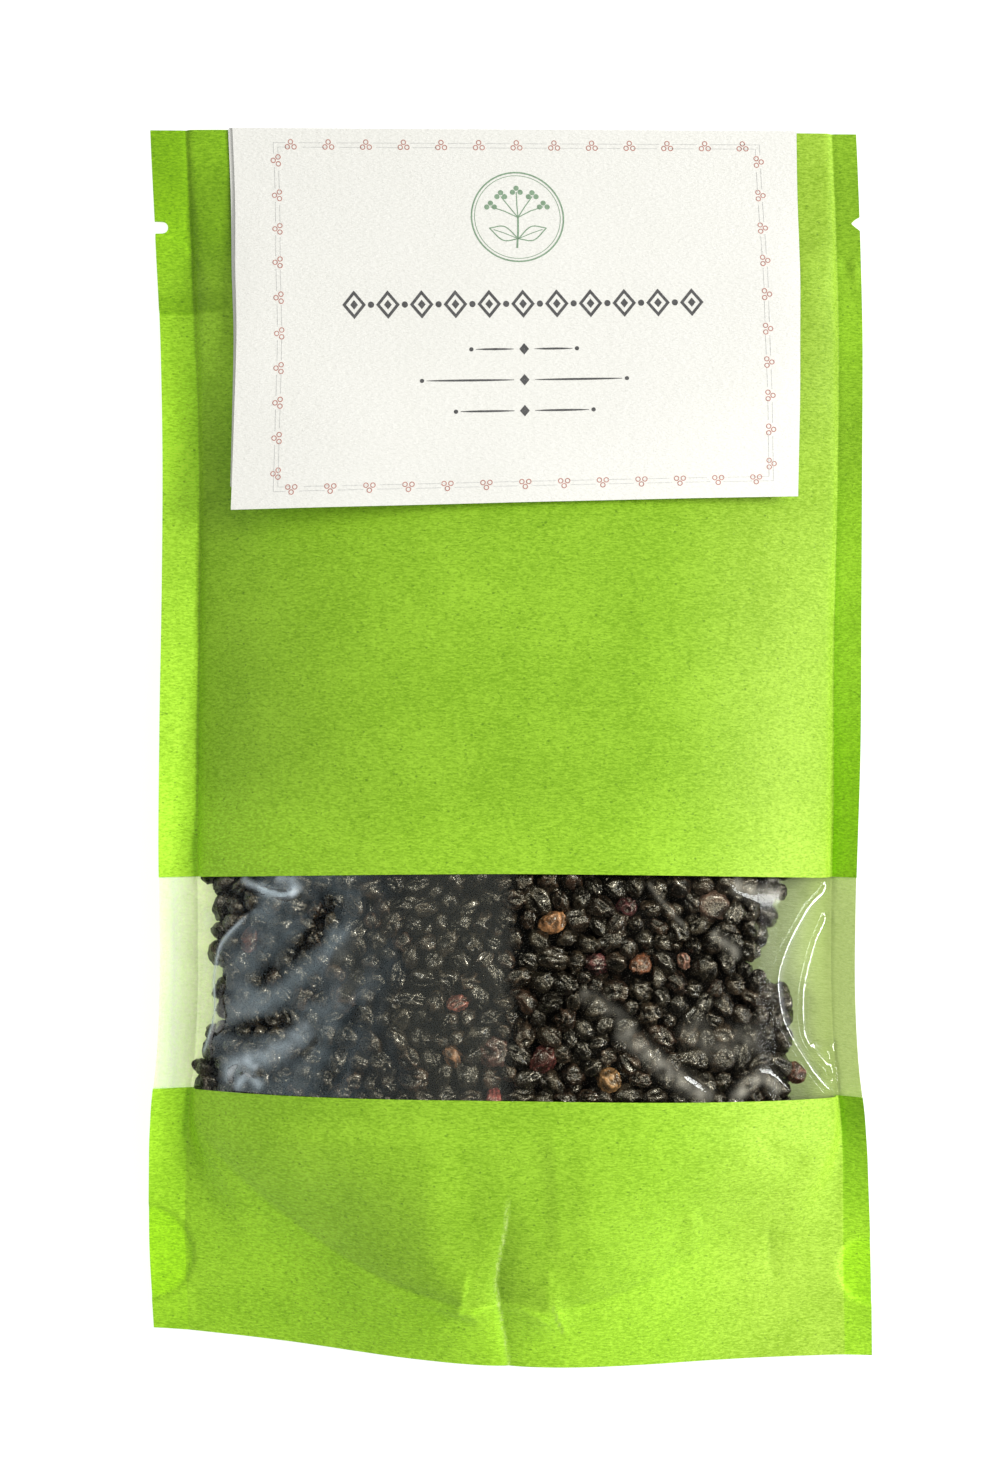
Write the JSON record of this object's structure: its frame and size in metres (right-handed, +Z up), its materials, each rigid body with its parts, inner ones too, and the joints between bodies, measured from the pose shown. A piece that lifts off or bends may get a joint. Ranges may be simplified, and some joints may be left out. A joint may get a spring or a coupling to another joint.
{
  "type": "pouch of dried elderberries",
  "caption": "Filled stand-up paper pouch of dried berries lying on its back, with a clear strip window, press-to-close zip, folded base and folded leaflet.",
  "frame": {"origin": "on the surface that the pouch lies on, under the middle of its bounding box", "axes": "+X across the pouch to the right as its front is seen, +Y from its base to its top edge, +Z up out of its front"},
  "size_m": [0.1422, 0.2422, 0.0267],
  "materials": {
    "paper_laminate": "matt, fibrous, foil-free laminate; creased",
    "clear_film": "clear, glossy, slightly hazy",
    "leaflet_paper": "matt, uncoated",
    "dried_berry": null,
    "zip_plastic": "translucent"
  },
  "bodies": {
    "root": {"front_panel_upper": "paper_laminate", "front_panel_lower": "paper_laminate", "window_film": "clear_film", "back_panel": "paper_laminate", "base_gusset": "paper_laminate", "zip_groove_track": "zip_plastic", "zip_rib_track": "zip_plastic", "leaflet": "leaflet_paper", "dried_elderberries": "dried_berry"}
  },
  "joints": []
}
